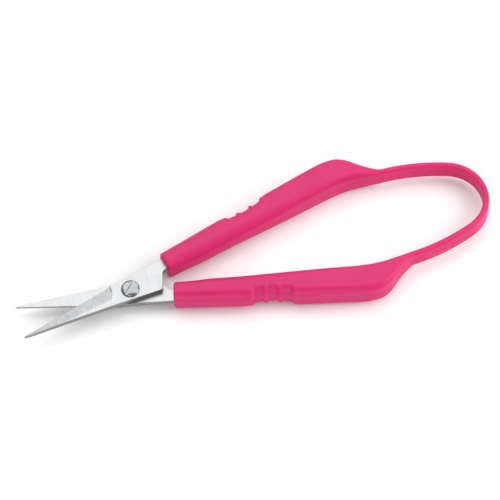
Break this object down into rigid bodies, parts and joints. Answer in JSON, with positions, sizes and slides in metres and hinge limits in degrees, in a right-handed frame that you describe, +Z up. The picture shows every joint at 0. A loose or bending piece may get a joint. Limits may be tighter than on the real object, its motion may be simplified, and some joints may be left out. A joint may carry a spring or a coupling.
{
  "type": "floral snips",
  "caption": "Pointed floral snips: two steel blades on a slotted pivot screw, ribbed pink grips joined by a springy loop that opens the blades.",
  "frame": {"origin": "middle of the whole open snips in length and width, on the surface that the grips lie on", "axes": "+X from the blade tips towards the loop, +Y across from the lower to the upper grip, +Z up, out of the blade that carries the screw head"},
  "size_m": [0.2014, 0.0658, 0.012],
  "materials": {
    "blade_steel": "fine satin steel, cross-ground bevels",
    "screw_chrome": "bright plated",
    "handle_plastic": "satin moulded plastic, hot pink"
  },
  "bodies": {
    "loop": {"loop_spring": "handle_plastic"},
    "upper_half": {"front_blade": "blade_steel", "upper_grip": "handle_plastic"},
    "lower_half": {"back_blade": "blade_steel", "lower_grip": "handle_plastic", "pivot_screw": "screw_chrome"}
  },
  "joints": [
    {"name": "upper_squeeze", "type": "hinge", "parent": "loop", "child": "upper_half", "pos_m": [-0.05325, 0, 0.006], "axis": [0, 0, -1], "range_deg": [0, 9.3], "stiffness_Nm_per_rad": 3, "deforming": ["loop_spring"]},
    {"name": "lower_squeeze", "type": "hinge", "parent": "loop", "child": "lower_half", "pos_m": [-0.05325, 0, 0.006], "axis": [0, 0, 1], "range_deg": [0, 9.3], "stiffness_Nm_per_rad": 3, "deforming": ["loop_spring"]}
  ],
  "couplings": [
    {"joint": "lower_squeeze", "follows": "upper_squeeze", "ratio": 1}
  ]
}
